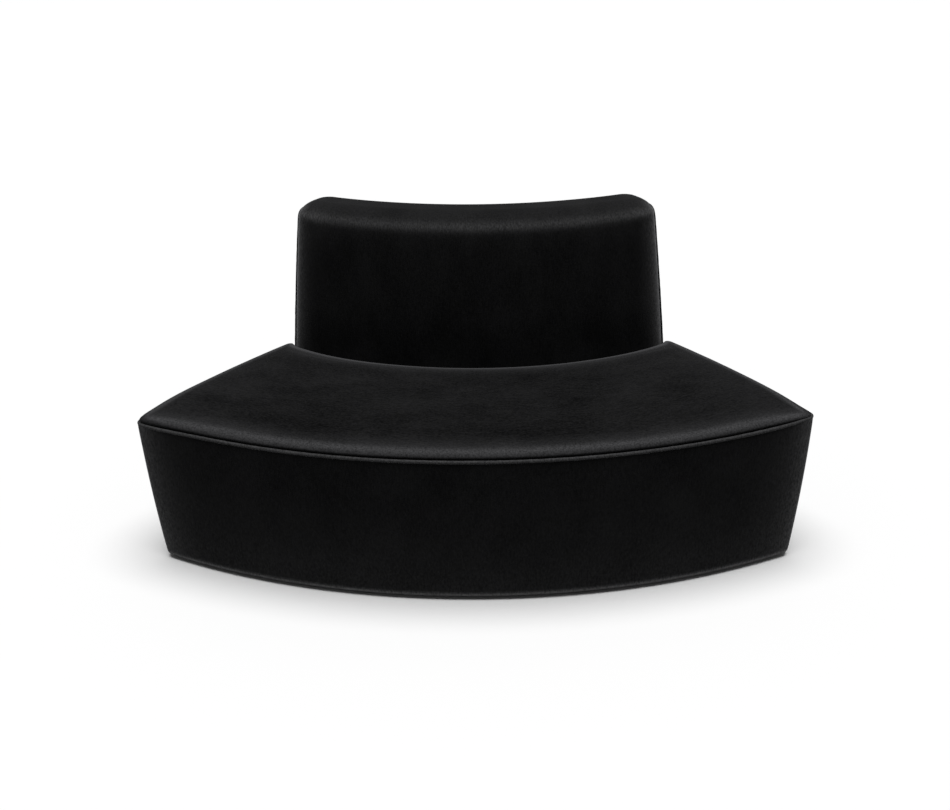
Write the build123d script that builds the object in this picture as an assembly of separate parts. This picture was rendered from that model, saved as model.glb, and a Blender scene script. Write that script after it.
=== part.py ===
from build123d import *
import os
from math import asin, atan, cos, degrees, hypot, radians, sin, tan

# Curved sofa module, millimetres. It is modelled about the axis of the ring it belongs to,
# with the front towards -Y, and moved at the end so that its box stands centred on the origin.

# Plan
HALF_ANGLE = 33.5          # half of the sector between the end planes
FRONT_RADIUS = 1625.0      # face of the apron at the seam
SEAT_DEPTH = 587.0         # apron face to the face of the back, at seat height
BACK_DEPTH = 148.0         # face of the back to its rear, at the foot of the back
CORNER_ROUND = 24.0        # upright corners of the base and seat

# Heights
RIM_HEIGHT = 12.0          # lower edge of the apron above the floor
SEAT_HEIGHT = 432.0        # edge of the seat top before its crown
SEAT_CROWN = 7.0           # rise of the seat top towards its middle
SEAM_DROP = 24.0           # welt line below the edge of the seat top
SEAT_FOAM = 102.0          # edge of the seat top above the deck
BACK_HEIGHT = 425.0        # top of the back above the edge of the seat top

# Leans
TAPER = 30.0               # how far the apron and ends draw in from the seam to the rim
BACK_RAKE = 4.5            # degrees, face of the back
REAR_RAKE = 3.2            # degrees, rear of the back
BACK_END_INSET = 37.0      # ends of the back inside the end planes, at seat height
BACK_END_LEAN = 3.0        # degrees, ends of the back lean in towards the top

# Rolled edges
SEAT_ROLL = 22.0           # front and end edges of the seat top
TUCK_ROLL = 14.0           # rear edge of the seat, against the back
BACK_ROLL = 45.0           # front and rear edges of the top of the back
BACK_END_ROLL = 34.0       # edges round the ends of the back
SEAT_WELT = 3.8            # radius of the piping round the seat
BACK_WELT = 3.2            # radius of the piping on the back
ROLL_STEPS = 5             # outlines that shape a rolled edge of a cover
FOAM_STEPS = 3             # outlines that shape a rolled edge of the foam
WELT_SIDES = 8

# Layers
COVER = 2.0                # velvet with its backing
WRAP = 8.0                 # padding on the bent ply
BACK_FOAM = 50.0           # foam on the face of the back
TOP_FOAM = 40.0            # foam on the top of the back
END_FOAM = 18.0            # foam on the ends of the back
PLY = 18.0                 # panels, rails and ribs
SKIN = 8.0                 # bent ply on the base
BACK_SKIN = 6.0            # bent ply on the back
HEM = 25.0                 # cover turned under the base
CLOTH = 1.2                # dust cover
CLOTH_HOLE = 14.0          # radius of its holes round the feet, pivots and inserts
GAP = 0.3                  # play between soft layers

# Frame spacing, degrees from the middle
RIB_ANGLES = (-20.0, -7.5, 7.5, 20.0)
BACK_RIB_ANGLES = (-15.0, 0.0, 15.0)
BOLT_ANGLES = (-24.0, -11.5, 11.5, 24.0)
RIB_HOLE = 90.0            # radius of the lightening hole in a base rib
ACCESS_HOLE = 40.0         # radius of the hand holes below the back bolts

# Levelling feet
FOOT_FROM_EDGE = 62.0      # foot centre inside the lower edge of the base
FOOT_RADIUS = 23.0         # disc with a twelve-sided grip
FOOT_DISC = 6.0            # thickness of the disc
FOOT_HEX = 17.0            # across the flats
STEM_RADIUS = 5.0
STEM_LENGTH = 44.0
SLIDING = 0.1              # radial play of what turns or slides

# Ganging straps and inserts, and the bolts that hold the back
GANG_FROM_EDGE = 60.0      # pivots and inserts inside the lower edge of an end
GANG_FROM_FRONT = 115.0    # front pivot and insert inside the lower edge of the front
GANG_FROM_REAR = 138.0     # rear pivot and insert inside the lower edge of the rear
STRAP_WIDTH = 32.0
STRAP_THICK = 4.0
STRAP_DROP = 2.4           # strap below the bottom panel
STRAP_HOLE = 4.5
BOLT_RADIUS = 4.0
INSERT_BORE = 3.4
INSERT_LENGTH = 15.0

SEAM_HEIGHT = SEAT_HEIGHT - SEAM_DROP
DECK_TOP = SEAT_HEIGHT - SEAT_FOAM
TOTAL_HEIGHT = SEAT_HEIGHT + BACK_HEIGHT
BOTTOM = RIM_HEIGHT + COVER
BACK_FACE_RADIUS = FRONT_RADIUS - SEAT_DEPTH
SWEEP = HALF_ANGLE + 5.0
LEAN = TAPER / (SEAM_HEIGHT - RIM_HEIGHT)
PAD_IN = COVER + GAP
SKIN_IN = PAD_IN + WRAP + GAP
FRAME_IN = SKIN_IN + SKIN + GAP
BACK_SKIN_IN = PAD_IN + BACK_FOAM + GAP
BACK_FRAME_IN = BACK_SKIN_IN + BACK_SKIN + GAP
BACK_REAR_FRAME_IN = SKIN_IN + BACK_SKIN + GAP
BACK_END_IN = PAD_IN + END_FOAM + GAP
BACK_FRAME_TOP = TOTAL_HEIGHT - PAD_IN - TOP_FOAM - GAP
STRAP_REACH = 2 * (TAPER + GANG_FROM_EDGE)
UPWARDS = (Align.CENTER, Align.CENTER, Align.MIN)


def front_r(z, inset=0.0):
    """Radius of the tapered front at height z, or of a layer inside it."""
    return FRONT_RADIUS + (z - SEAM_HEIGHT) * LEAN - inset * hypot(1, LEAN)


def back_face_r(z, inset=0.0):
    """Radius of the raked face of the back at height z, or of a layer inside it."""
    rake = radians(BACK_RAKE)
    return BACK_FACE_RADIUS - (z - SEAT_HEIGHT) * tan(rake) - inset / cos(rake)


REAR_RADIUS = back_face_r(DECK_TOP) - BACK_DEPTH


def rear_r(z, inset=0.0):
    """Radius of the tapered rear of the base at height z, or of a layer inside it."""
    return REAR_RADIUS - (z - DECK_TOP) * LEAN + inset * hypot(1, LEAN)


def back_rear_r(z, inset=0.0):
    """Radius of the raked rear of the back at height z, or of a layer inside it."""
    rake = radians(REAR_RAKE)
    return REAR_RADIUS - (z - DECK_TOP) * tan(rake) + inset / cos(rake)


def seat_rear_r(z, inset=0.0):
    """Radius of the rear of the seat, which lies along the face of the back."""
    return back_face_r(z, -GAP - inset)


def at(radius, angle, z=0.0):
    """Point on the ring, with the angle measured from the middle of the front."""
    return Vector(radius * sin(radians(angle)), -radius * cos(radians(angle)), z)


def ring(outline):
    """Turn a closed outline of (radius, height) round the axis of the ring."""
    turned = revolve(Plane.XZ * outline, Axis.Z, 2 * SWEEP)
    return Rot(0, 0, -90 - SWEEP) * turned


def ring_of(*points):
    """Ring with a straight-sided outline."""
    return ring(make_face(Polyline(*points, close=True)))


def across():
    """Unit vector square to the left end, pointing out of the module."""
    return Vector(-cos(radians(HALF_ANGLE)), sin(radians(HALF_ANGLE)), 0)


def end_draw(z):
    """How far the ends of the base have drawn in at height z."""
    return (SEAM_HEIGHT - z) * LEAN


def back_end_draw(z):
    """How far the ends of the back lie inside the end planes at height z."""
    return BACK_END_INSET + (z - SEAT_HEIGHT) * tan(radians(BACK_END_LEAN))


def end_plane(inset=0.0):
    """Left end of the base, leaning in towards the floor, or a plane inside it."""
    lean = atan(LEAN)
    normal = across() * cos(lean) - Vector(0, 0, sin(lean))
    return Plane(Vector(0, 0, SEAM_HEIGHT) - normal * inset, at(1, -HALF_ANGLE), normal)


def back_end_plane(inset=0.0):
    """Left end of the back, leaning in towards its top, or a plane inside it."""
    lean = radians(BACK_END_LEAN)
    normal = across() * cos(lean) + Vector(0, 0, sin(lean))
    foot = Vector(0, 0, SEAT_HEIGHT) - across() * BACK_END_INSET
    return Plane(foot - normal * inset, at(1, -HALF_ANGLE), normal)


def right(shape):
    """The same shape at the other end."""
    return mirror(shape, about=Plane.YZ)


def within(shape, plane):
    """What lies between an end plane and its twin at the other end."""
    half = split(shape, plane, Keep.BOTTOM)
    return right(split(right(half), plane, Keep.BOTTOM))


def beyond(shape, plane):
    """What lies outside the left end plane."""
    return split(shape, plane, Keep.TOP)


def radius_of(shape):
    centre = shape.center()
    return hypot(centre.X, centre.Y)


def sector(z, front, rear, draw, front_corner, rear_corner):
    """Level outline of the module: two arcs and two straight ends with rounded corners."""
    ends = {}
    for name, radius in (("front", front), ("rear", rear)):
        point = at((radius**2 - draw**2) ** 0.5, -HALF_ANGLE) - across() * draw
        ends[name] = (point.X, point.Y)
        ends[name + "_right"] = (-point.X, point.Y)
    outline = make_face([Line(ends["rear"], ends["front"]),
                         ThreePointArc(ends["front"], (0, -front), ends["front_right"]),
                         Line(ends["front_right"], ends["rear_right"]),
                         ThreePointArc(ends["rear_right"], (0, -rear), ends["rear"])])
    corners = outline.vertices().sort_by(Axis.Y)
    outline = fillet(corners[:2], front_corner)
    outline = fillet(outline.vertices().sort_by(Axis.Y)[-2:], rear_corner)
    return Pos(0, 0, z) * outline


def base_block(low, high, inset, end_inset):
    """Block with the tapered front, rear and ends of the base and square corners."""
    block = ring_of((front_r(low, inset), low), (front_r(high, inset), high),
                    (rear_r(high, inset), high), (rear_r(low, inset), low))
    return within(block, end_plane(end_inset))


def rounded_block(low, high, inset):
    """Block with the tapered sides and the rounded corners of the base."""
    corner = CORNER_ROUND - inset
    slope = hypot(1, LEAN)
    return loft([sector(z, front_r(z, inset), rear_r(z, inset), end_draw(z) + inset * slope,
                        corner, corner) for z in (low, high)], ruled=True)


def stepped_block():
    """Outside of the base: up to the seam below the seat, up to the deck below the back."""
    behind_seat = ring_of((REAR_RADIUS - SEAT_DEPTH, DECK_TOP), (seat_rear_r(DECK_TOP), DECK_TOP),
                          (seat_rear_r(SEAT_HEIGHT), SEAT_HEIGHT), (REAR_RADIUS - SEAT_DEPTH, SEAT_HEIGHT))
    return rounded_block(RIM_HEIGHT, SEAM_HEIGHT, 0) - behind_seat


def sides(layer):
    """Front, rear and left pieces of a layer round the base, parted behind the rounded corners."""
    low, high = RIM_HEIGHT - PLY, SEAT_HEIGHT
    front_zone = ring_of((front_r(low, -PLY), low), (front_r(high, -PLY), high),
                         (front_r(high, CORNER_ROUND), high), (front_r(low, CORNER_ROUND), low))
    rear_zone = ring_of((rear_r(low, -PLY), low), (rear_r(high, -PLY), high),
                        (rear_r(high, CORNER_ROUND), high), (rear_r(low, CORNER_ROUND), low))
    left = split(layer - front_zone - rear_zone, Plane.YZ, Keep.BOTTOM)
    return layer & front_zone, layer & rear_zone, left


def roll_steps(radius, steps):
    """Inset and rise at steps round a rolled edge."""
    turns = [radians(90 * step / steps) for step in range(steps + 1)]
    return [(radius * (1 - cos(turn)), radius * sin(turn)) for turn in turns]


def seat_block(inset, low, steps):
    """Crowned seat with rolled edges, or a layer inside it."""
    roll = SEAT_ROLL - inset
    tuck = max(TUCK_ROLL - inset, 2 * COVER)
    start = SEAT_HEIGHT - SEAT_ROLL
    top = start + roll

    def level(z, drawn):
        over = min(max(z - (top - tuck), 0.0), tuck)
        tucked = tuck - (tuck**2 - over**2) ** 0.5 + max(drawn - roll, 0.0)
        corner = max(CORNER_ROUND - inset - drawn, 2 * COVER)
        return sector(z, front_r(min(z, start), inset) - drawn, seat_rear_r(min(z, start), inset) + tucked,
                      end_draw(min(z, start)) + inset + drawn, corner, tuck)

    walls = loft([level(low, 0), level(start, 0)], ruled=True)
    rolled = loft([level(start + rise, drawn) for drawn, rise in roll_steps(roll, steps)], ruled=True)
    crown = loft([level(top + SEAT_CROWN * rise, roll + SEAT_DEPTH * share)
                  for share, rise in ((0.0, 0.0), (0.1, 0.6), (0.3, 1.0))], ruled=True)
    return walls + rolled + crown


def back_block(low, inset, steps):
    """Back with a rolled top and rounded ends, or a layer inside it."""
    roll = BACK_ROLL - inset
    start = TOTAL_HEIGHT - BACK_ROLL

    def level(z, drawn):
        face = back_face_r(min(z, start), inset) - drawn
        rear = back_rear_r(min(z, start), inset) + drawn
        corner = min(BACK_END_ROLL - inset, 0.4 * (face - rear))
        return sector(z, face, rear, back_end_draw(min(z, start)) + inset + drawn, corner, corner)

    walls = loft([level(low, 0), level(start, 0)], ruled=True)
    rolled = loft([level(start + rise, drawn) for drawn, rise in roll_steps(roll, steps)], ruled=True)
    return walls + rolled


def back_end_seam():
    """Line of the seam round the left end of the back, half way round its rounded edge."""
    proud = BACK_WELT + GAP - PAD_IN
    inset = BACK_END_ROLL - (BACK_END_ROLL + proud) * sin(radians(45))
    low = DECK_TOP + BACK_WELT
    crest = ((BACK_ROLL + proud) ** 2 - (BACK_ROLL - inset) ** 2) ** 0.5
    high = TOTAL_HEIGHT - BACK_ROLL + crest + 4 * GAP

    def reach(z, radius, side):
        centre = ((radius - side * BACK_END_ROLL) ** 2 - (back_end_draw(z) + BACK_END_ROLL) ** 2) ** 0.5
        return centre + side * (BACK_END_ROLL - inset)

    outline = make_face(Polyline((reach(low, back_face_r(low), 1), low),
                                 (reach(high, back_face_r(high), 1), high),
                                 (reach(high, back_rear_r(high), -1), high),
                                 (reach(low, back_rear_r(low), -1), low), close=True))
    outline = fillet(outline.vertices().sort_by(Axis.Y)[-2:], BACK_END_ROLL - 2 * BACK_WELT)
    plane = back_end_plane(inset)
    return inset, (plane * Pos(0, -SEAT_HEIGHT) * outline).edges().sort_by(Axis.Z)[1:]


def piping(edges, radius):
    """Cord along a run of edges."""
    path = Wire(edges)
    return sweep(Plane(path @ 0, z_dir=path % 0) * RegularPolygon(radius, WELT_SIDES), path)


def upright_panel(angle, thickness, points):
    """Flat panel standing on a radius of the ring."""
    face = Plane.XZ * make_face(Polyline(*points, close=True))
    return Rot(0, 0, angle - 90) * extrude(face, thickness / 2, both=True)


def drilled(shape, points, radius):
    """Upright holes right through a panel."""
    for point in points:
        shape = shape - Pos(point.X, point.Y, TOTAL_HEIGHT / 2) * Cylinder(radius, TOTAL_HEIGHT)
    return shape


def tee_nut(bore, top, length):
    """Flanged nut let into a panel from above."""
    nut = Pos(0, 0, top) * extrude(RegularPolygon(bore + 8, 8), 2)
    nut += Pos(0, 0, top - length) * extrude(RegularPolygon(bore + 2 - SLIDING, 8), length)
    return nut - Pos(0, 0, top - length) * Cylinder(bore + SLIDING, 2 * length, align=UPWARDS)


def solid_of_turning(*points):
    """Turned piece on its own upright axis."""
    return revolve(Plane.XZ * make_face(Polyline(*points, close=True)), Axis.Z)


pieces = {}

# Places of the feet, of the bolts and of the ganging pieces
foot_front = front_r(RIM_HEIGHT) - FOOT_FROM_EDGE
foot_rear = rear_r(RIM_HEIGHT) + FOOT_FROM_EDGE
foot_places = {}
for row, radius in (("front", foot_front), ("rear", foot_rear)):
    swing = HALF_ANGLE - degrees(asin((TAPER + FOOT_FROM_EDGE) / radius))
    for name, angle in (("left", -swing), ("centre", 0.0), ("right", swing)):
        foot_places[f"{row}_{name}"] = at(radius, angle)
bolt_radius = (back_face_r(DECK_TOP, BACK_FRAME_IN) + back_rear_r(DECK_TOP, BACK_REAR_FRAME_IN)) / 2
bolt_places = [at(bolt_radius, angle) for angle in BOLT_ANGLES]
inward = Vector(-cos(radians(HALF_ANGLE)), -sin(radians(HALF_ANGLE)), 0)
gang_radii = (front_r(RIM_HEIGHT) - GANG_FROM_FRONT, rear_r(RIM_HEIGHT) + GANG_FROM_REAR)
pivot_places = [at(r, HALF_ANGLE) + inward * (TAPER + GANG_FROM_EDGE) for r in gang_radii]
insert_places = [Vector(-place.X, place.Y, 0) for place in pivot_places]

# Base frame
END_FRAME_IN = SKIN_IN + PLY
bottom_panel = base_block(BOTTOM, BOTTOM + PLY, FRAME_IN, END_FRAME_IN)
bottom_panel = drilled(bottom_panel, foot_places.values(), STEM_RADIUS + 2 + 2 * SLIDING)
access_radius = rear_r(BOTTOM, FRAME_IN) + PLY + ACCESS_HOLE
bottom_panel = drilled(bottom_panel, [at(access_radius, angle) for angle in BOLT_ANGLES], ACCESS_HOLE)
bottom_panel = drilled(bottom_panel, pivot_places, BOLT_RADIUS + SLIDING)
pieces["bottom_panel"] = drilled(bottom_panel, insert_places, 6 + SLIDING)
deck = base_block(DECK_TOP - PLY, DECK_TOP, FRAME_IN, END_FRAME_IN)
pieces["seat_deck"] = drilled(deck, bolt_places, BOLT_RADIUS + 0.5)

ends = beyond(base_block(BOTTOM, DECK_TOP, FRAME_IN, SKIN_IN), end_plane(END_FRAME_IN))
pieces["left_end_panel"] = ends
pieces["right_end_panel"] = right(ends)

front_skin = ring_of((front_r(BOTTOM, SKIN_IN), BOTTOM), (front_r(DECK_TOP, SKIN_IN), DECK_TOP),
                     (front_r(DECK_TOP, SKIN_IN + SKIN), DECK_TOP),
                     (front_r(BOTTOM, SKIN_IN + SKIN), BOTTOM))
pieces["front_skin"] = within(front_skin, end_plane(SKIN_IN))
rear_skin = ring_of((rear_r(BOTTOM, SKIN_IN), BOTTOM), (rear_r(DECK_TOP, SKIN_IN), DECK_TOP),
                    (rear_r(DECK_TOP, SKIN_IN + SKIN), DECK_TOP), (rear_r(BOTTOM, SKIN_IN + SKIN), BOTTOM))
pieces["rear_skin"] = within(rear_skin, end_plane(SKIN_IN))

rib_low = BOTTOM + PLY
rib_high = DECK_TOP - PLY
rib_outline = ((front_r(rib_low, FRAME_IN), rib_low), (front_r(rib_high, FRAME_IN), rib_high),
               (rear_r(rib_high, FRAME_IN), rib_high), (rear_r(rib_low, FRAME_IN), rib_low))
rib_middle = (rib_low + rib_high) / 2
rib_span = front_r(rib_middle, FRAME_IN) - rear_r(rib_middle, FRAME_IN)
for number, angle in enumerate(RIB_ANGLES, 1):
    rib = upright_panel(angle, PLY, rib_outline)
    centre = at(rear_r(rib_middle, FRAME_IN) + rib_span / 2, angle, rib_middle)
    hole = Rot(0, 0, angle) * Rot(0, 90, 0) * Cylinder(RIB_HOLE, 3 * PLY)
    pieces[f"rib_{number}"] = rib - Pos(centre) * hole

# Base padding and covers
padding = rounded_block(BOTTOM, SEAM_HEIGHT + COVER, PAD_IN)
padding = split(padding, Plane.XY.offset(DECK_TOP), Keep.BOTTOM)
padding = padding - base_block(BOTTOM - PLY, DECK_TOP + PLY, PAD_IN + WRAP, PAD_IN + WRAP)
front, rear, left = sides(padding)
pieces["front_padding"] = front
pieces["rear_padding"] = rear
pieces["left_end_padding"] = left
pieces["right_end_padding"] = right(left)

pieces["seat_foam"] = seat_block(PAD_IN, DECK_TOP, FOAM_STEPS)

proud = SEAT_WELT + GAP - PAD_IN
seam = sector(SEAM_HEIGHT, FRONT_RADIUS + proud, BACK_FACE_RADIUS, -proud,
              CORNER_ROUND + proud, TUCK_ROLL)
seam_edges = seam.edges().sort_by(radius_of)[3:]
pieces["seat_welt"] = piping(seam_edges, SEAT_WELT)
above_seam = SEAM_HEIGHT + SEAT_WELT
below_seam = SEAM_HEIGHT - SEAT_WELT

seat_shell = seat_block(0, DECK_TOP, ROLL_STEPS) - seat_block(COVER, DECK_TOP - PLY, FOAM_STEPS)
seat_top = split(seat_shell, Plane.XY.offset(above_seam), Keep.TOP)
rear_strip = ring_of((seat_rear_r(DECK_TOP, -PLY), DECK_TOP), (seat_rear_r(above_seam, -PLY), above_seam),
                     (seat_rear_r(above_seam, PLY), above_seam), (seat_rear_r(DECK_TOP, PLY), DECK_TOP))
pieces["seat_cover"] = seat_top + (seat_shell & within(rear_strip, end_plane(2 * TUCK_ROLL)))

band = stepped_block() - rounded_block(BOTTOM, SEAM_HEIGHT + COVER, COVER)
band = band - base_block(RIM_HEIGHT - PLY, BOTTOM + COVER, COVER + HEM, COVER + HEM)
band = split(band, Plane.XY.offset(below_seam), Keep.BOTTOM)
ledge = ring_of((seat_rear_r(DECK_TOP, -GAP), DECK_TOP), (seat_rear_r(DECK_TOP, -GAP), DECK_TOP + COVER),
                (REAR_RADIUS / 2, DECK_TOP + COVER), (REAR_RADIUS / 2, DECK_TOP))
ledge = rounded_block(RIM_HEIGHT, SEAM_HEIGHT, 0) & ledge
ledge = ledge - back_block(DECK_TOP - PLY, -GAP, FOAM_STEPS)
ledge = beyond(ledge, back_end_plane(BACK_END_ROLL / 2))
band = band + ledge + right(ledge)
front, rear, left = sides(band)
pieces["front_apron_cover"] = front
pieces["rear_cover"] = rear
pieces["left_end_cover"] = left
pieces["right_end_cover"] = right(left)

dust = base_block(BOTTOM - CLOTH, BOTTOM, COVER + HEM + COVER, COVER + HEM + COVER)
dust = drilled(dust, foot_places.values(), CLOTH_HOLE)
dust = drilled(dust, pivot_places, CLOTH_HOLE)
pieces["dust_cover"] = drilled(dust, insert_places, CLOTH_HOLE)

# Back frame
rail_low = DECK_TOP
rail_high = BACK_FRAME_TOP - PLY


def back_slab(low, high, front_inset, rear_inset, end_inset):
    """Piece of the back between two heights and two layers."""
    slab = ring_of((back_face_r(low, front_inset), low), (back_face_r(high, front_inset), high),
                   (back_rear_r(high, rear_inset), high), (back_rear_r(low, rear_inset), low))
    return within(slab, back_end_plane(end_inset))


foot_rail = back_slab(rail_low, rail_low + PLY, BACK_FRAME_IN, BACK_REAR_FRAME_IN, BACK_END_IN)
pieces["back_bottom_rail"] = drilled(foot_rail, bolt_places, BOLT_RADIUS + 2)
head_rail = back_slab(rail_high, rail_high + PLY, BACK_FRAME_IN, BACK_REAR_FRAME_IN, BACK_END_IN)
pieces["back_top_rail"] = head_rail
cheeks = back_slab(rail_low + PLY, rail_high, BACK_FRAME_IN, BACK_REAR_FRAME_IN, BACK_END_IN)
cheek = beyond(cheeks, back_end_plane(BACK_END_IN + PLY))
pieces["back_left_end_panel"] = cheek
pieces["back_right_end_panel"] = right(cheek)
for number, angle in enumerate(BACK_RIB_ANGLES, 1):
    low, high = rail_low + PLY, rail_high
    outline = ((back_face_r(low, BACK_FRAME_IN), low), (back_face_r(high, BACK_FRAME_IN), high),
               (back_rear_r(high, BACK_REAR_FRAME_IN), high), (back_rear_r(low, BACK_REAR_FRAME_IN), low))
    pieces[f"back_rib_{number}"] = upright_panel(angle, PLY, outline)
thickness_in = back_face_r(0, BACK_SKIN_IN) - back_face_r(0, BACK_SKIN_IN + BACK_SKIN)
face_skin = ring_of((back_face_r(rail_low, BACK_SKIN_IN), rail_low),
                    (back_face_r(BACK_FRAME_TOP, BACK_SKIN_IN), BACK_FRAME_TOP),
                    (back_face_r(BACK_FRAME_TOP, BACK_SKIN_IN) - thickness_in, BACK_FRAME_TOP),
                    (back_face_r(rail_low, BACK_SKIN_IN) - thickness_in, rail_low))
pieces["back_front_skin"] = within(face_skin, back_end_plane(BACK_END_IN))
far_skin = ring_of((back_rear_r(rail_low, SKIN_IN), rail_low),
                   (back_rear_r(BACK_FRAME_TOP, SKIN_IN), BACK_FRAME_TOP),
                   (back_rear_r(BACK_FRAME_TOP, SKIN_IN + BACK_SKIN), BACK_FRAME_TOP),
                   (back_rear_r(rail_low, SKIN_IN + BACK_SKIN), rail_low))
pieces["back_rear_skin"] = within(far_skin, back_end_plane(BACK_END_IN))

# Back padding and covers
core = back_slab(DECK_TOP - PLY, BACK_FRAME_TOP + GAP, BACK_SKIN_IN - GAP, SKIN_IN - GAP, BACK_END_IN - GAP)
padded = back_block(DECK_TOP, PAD_IN, FOAM_STEPS) - core
clear = ring_of((back_rear_r(DECK_TOP - PLY, -PLY), DECK_TOP - PLY),
                (back_rear_r(BACK_FRAME_TOP, -PLY), BACK_FRAME_TOP),
                (back_rear_r(BACK_FRAME_TOP, SKIN_IN), BACK_FRAME_TOP),
                (back_rear_r(DECK_TOP - PLY, SKIN_IN), DECK_TOP - PLY))
pieces["back_foam"] = padded - within(clear, back_end_plane(BACK_END_ROLL - GAP))
rear_pad = ring_of((back_rear_r(DECK_TOP, PAD_IN + 2 * GAP), DECK_TOP),
                   (back_rear_r(BACK_FRAME_TOP, PAD_IN + 2 * GAP), BACK_FRAME_TOP),
                   (back_rear_r(BACK_FRAME_TOP, SKIN_IN - GAP), BACK_FRAME_TOP),
                   (back_rear_r(DECK_TOP, SKIN_IN - GAP), DECK_TOP))
pieces["back_rear_padding"] = within(rear_pad, back_end_plane(BACK_END_ROLL))

seam_inset, back_seam = back_end_seam()
back_welt = piping(back_seam, BACK_WELT)
pieces["back_left_welt"] = back_welt
pieces["back_right_welt"] = right(back_welt)
back_shell = back_block(DECK_TOP, 0, ROLL_STEPS) - back_block(DECK_TOP - PLY, COVER, FOAM_STEPS)
pieces["back_cover"] = within(back_shell, back_end_plane(seam_inset + BACK_WELT))
gusset = beyond(back_shell, back_end_plane(seam_inset - BACK_WELT))
pieces["back_left_end_cover"] = gusset
pieces["back_right_end_cover"] = right(gusset)

# Bolts that hold the back, with tee nuts on its bottom rail
head = extrude(RegularPolygon(6.5, 6, major_radius=False), 5.5)
bolt = Pos(0, 0, DECK_TOP - PLY - 5.5) * head
bolt += Pos(0, 0, DECK_TOP - PLY) * Cylinder(BOLT_RADIUS, 3 * PLY, align=UPWARDS)
back_nut = tee_nut(BOLT_RADIUS, DECK_TOP + PLY, 12)
pieces["back_bolts"] = Compound([Pos(place) * bolt for place in bolt_places])
pieces["back_tee_nuts"] = Compound([Pos(place) * back_nut for place in bolt_places])

# Levelling feet with tee nuts in the bottom panel
disc = extrude(RegularPolygon(FOOT_RADIUS, 12), FOOT_DISC)
hexagon = RegularPolygon(FOOT_HEX / 2, 6, major_radius=False)
nut = Pos(0, 0, FOOT_DISC) * extrude(hexagon, BOTTOM - FOOT_DISC)
stem = Pos(0, 0, BOTTOM) * Cylinder(STEM_RADIUS, STEM_LENGTH, align=UPWARDS)
foot = disc + nut + stem
for name, place in foot_places.items():
    pieces[f"foot_{name}"] = Pos(place) * foot
foot_nut = tee_nut(STEM_RADIUS, BOTTOM + PLY, PLY - 2)
pieces["foot_tee_nuts"] = Compound([Pos(place) * foot_nut for place in foot_places.values()])

# Ganging straps that swing out at the right end, inserts for those of the next module
strap_top = BOTTOM - STRAP_DROP
strap_low = strap_top - STRAP_THICK
plate = Pos(STRAP_REACH / 2, 0) * SlotCenterToCenter(STRAP_REACH, STRAP_WIDTH)
plate = plate - Circle(BOLT_RADIUS + SLIDING) - Pos(STRAP_REACH, 0) * Circle(STRAP_HOLE)
strap = Pos(0, 0, strap_low) * extrude(plate, STRAP_THICK)
for name, place, heading in zip(("front", "rear"), pivot_places, (HALF_ANGLE + 90, HALF_ANGLE - 90)):
    pieces[f"ganging_strap_{name}"] = Pos(place) * Rot(0, 0, heading) * strap
pivot = solid_of_turning((0, strap_low - 3.5), (9, strap_low - 3.5), (9, strap_low - SLIDING),
                         (BOLT_RADIUS, strap_low - SLIDING), (BOLT_RADIUS, strap_top + SLIDING),
                         (12, strap_top + SLIDING), (12, BOTTOM), (BOLT_RADIUS, BOTTOM),
                         (BOLT_RADIUS, BOTTOM + PLY + 8), (0, BOTTOM + PLY + 8))
pieces["ganging_pivots"] = Compound([Pos(place) * pivot for place in pivot_places])
insert = solid_of_turning((INSERT_BORE, BOTTOM - 1.5), (8, BOTTOM - 1.5), (8, BOTTOM), (6, BOTTOM),
                          (6, BOTTOM + INSERT_LENGTH), (INSERT_BORE, BOTTOM + INSERT_LENGTH))
pieces["ganging_inserts"] = Compound([Pos(place) * insert for place in insert_places])

# Stand the box of the whole module centred on the origin and write each piece
box = Compound([Compound(piece.solids()) for piece in pieces.values()]).bounding_box()
centred = Pos(-box.center().X, -box.center().Y, 0)
os.makedirs("parts", exist_ok=True)
for name, piece in pieces.items():
    export_step(centred * Compound(piece.solids()), f"parts/{name}.step")
print("ring axis at y", round(-box.center().Y, 2), "size", box.size)
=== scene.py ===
from math import atan2, cos, hypot, pi, radians, sin, tan

import bmesh
import bpy
import numpy as np
from mathutils import Matrix, Vector


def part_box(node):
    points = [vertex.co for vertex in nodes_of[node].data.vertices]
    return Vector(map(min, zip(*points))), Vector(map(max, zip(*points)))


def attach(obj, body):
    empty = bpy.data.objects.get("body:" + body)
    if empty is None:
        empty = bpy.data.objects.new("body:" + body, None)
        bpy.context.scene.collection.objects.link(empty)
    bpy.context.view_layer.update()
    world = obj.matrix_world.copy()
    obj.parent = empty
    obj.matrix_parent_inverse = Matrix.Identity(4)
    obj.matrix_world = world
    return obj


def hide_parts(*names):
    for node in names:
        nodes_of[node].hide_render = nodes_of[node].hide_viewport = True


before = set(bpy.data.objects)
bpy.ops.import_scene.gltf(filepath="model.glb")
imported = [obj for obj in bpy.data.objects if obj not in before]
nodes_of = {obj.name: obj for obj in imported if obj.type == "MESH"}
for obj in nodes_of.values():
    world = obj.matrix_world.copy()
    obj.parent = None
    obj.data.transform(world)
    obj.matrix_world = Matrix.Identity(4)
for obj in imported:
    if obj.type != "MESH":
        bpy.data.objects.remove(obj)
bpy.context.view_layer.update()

# Curved sofa module. Shapes are worked out in millimetres about the axis of the ring that the
# module belongs to, with the front towards -Y, and moved to the part's frame in metres.
MM = 1000.0                # millimetres in a metre
HALF_ANGLE = 33.5          # half of the sector, degrees
FRONT_RADIUS = 1625.0      # front of the base at the seam
BACK_FACE_RADIUS = 1038.0  # face of the back at seat height
REAR_RADIUS = 898.03       # rear of the base and back at the deck
RIM_HEIGHT = 12.0
SEAM_HEIGHT = 408.0
SEAT_HEIGHT = 432.0
DECK_TOP = 330.0
TOTAL_HEIGHT = 857.0
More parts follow.
